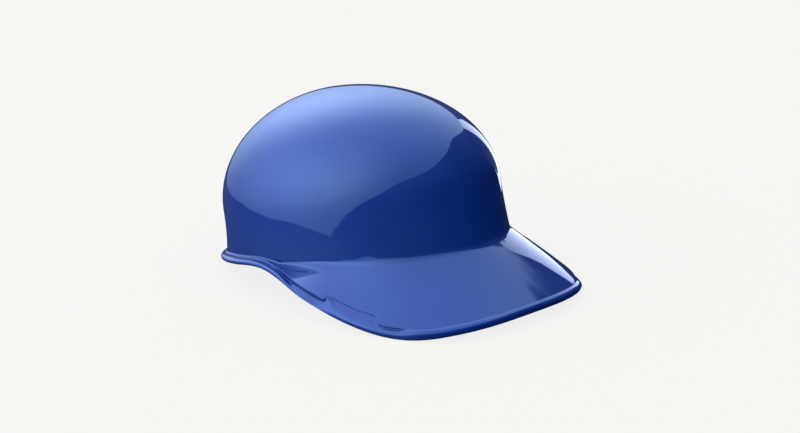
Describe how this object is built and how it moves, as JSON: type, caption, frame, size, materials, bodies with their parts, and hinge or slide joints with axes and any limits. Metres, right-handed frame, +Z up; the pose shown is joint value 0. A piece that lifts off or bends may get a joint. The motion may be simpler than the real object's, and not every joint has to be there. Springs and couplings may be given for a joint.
{
  "type": "catcher skull cap",
  "caption": "Brimmed hard cap with a domed glossy shell, a flared front bill with a rolled bead edge, and padded liner pads held inside by hook and loop.",
  "frame": {"origin": "middle of the cap's box on the surface it rests on, standing on its bill corners and its rear edge", "axes": "+Z up, -Y the way the bill points, +X towards the wearer's left"},
  "size_m": [0.2252, 0.2876, 0.1431],
  "materials": {
    "shell": "gloss",
    "hook_tape": "matte",
    "loop_tape": "matte",
    "backing_sheet": "matte",
    "firm_foam": "matte",
    "comfort_foam": "matte",
    "liner_fabric": "matte"
  },
  "bodies": {
    "root": {"shell": "shell", "front_hook_patch": "hook_tape", "front_loop_patch": "loop_tape", "front_pad_backing": "backing_sheet", "front_pad_core": "firm_foam", "front_pad_comfort": "comfort_foam", "front_pad_cover": "liner_fabric", "rear_hook_patch": "hook_tape", "rear_loop_patch": "loop_tape", "rear_pad_backing": "backing_sheet", "rear_pad_core": "firm_foam", "rear_pad_comfort": "comfort_foam", "rear_pad_cover": "liner_fabric", "left_hook_patch": "hook_tape", "left_loop_patch": "loop_tape", "left_pad_backing": "backing_sheet", "left_pad_core": "firm_foam", "left_pad_comfort": "comfort_foam", "left_pad_cover": "liner_fabric", "right_hook_patch": "hook_tape", "right_loop_patch": "loop_tape", "right_pad_backing": "backing_sheet", "right_pad_core": "firm_foam", "right_pad_comfort": "comfort_foam", "right_pad_cover": "liner_fabric", "crown_hook_patch": "hook_tape", "crown_loop_patch": "loop_tape", "crown_pad_backing": "backing_sheet", "crown_pad_core": "firm_foam", "crown_pad_comfort": "comfort_foam", "crown_pad_cover": "liner_fabric"}
  },
  "joints": []
}
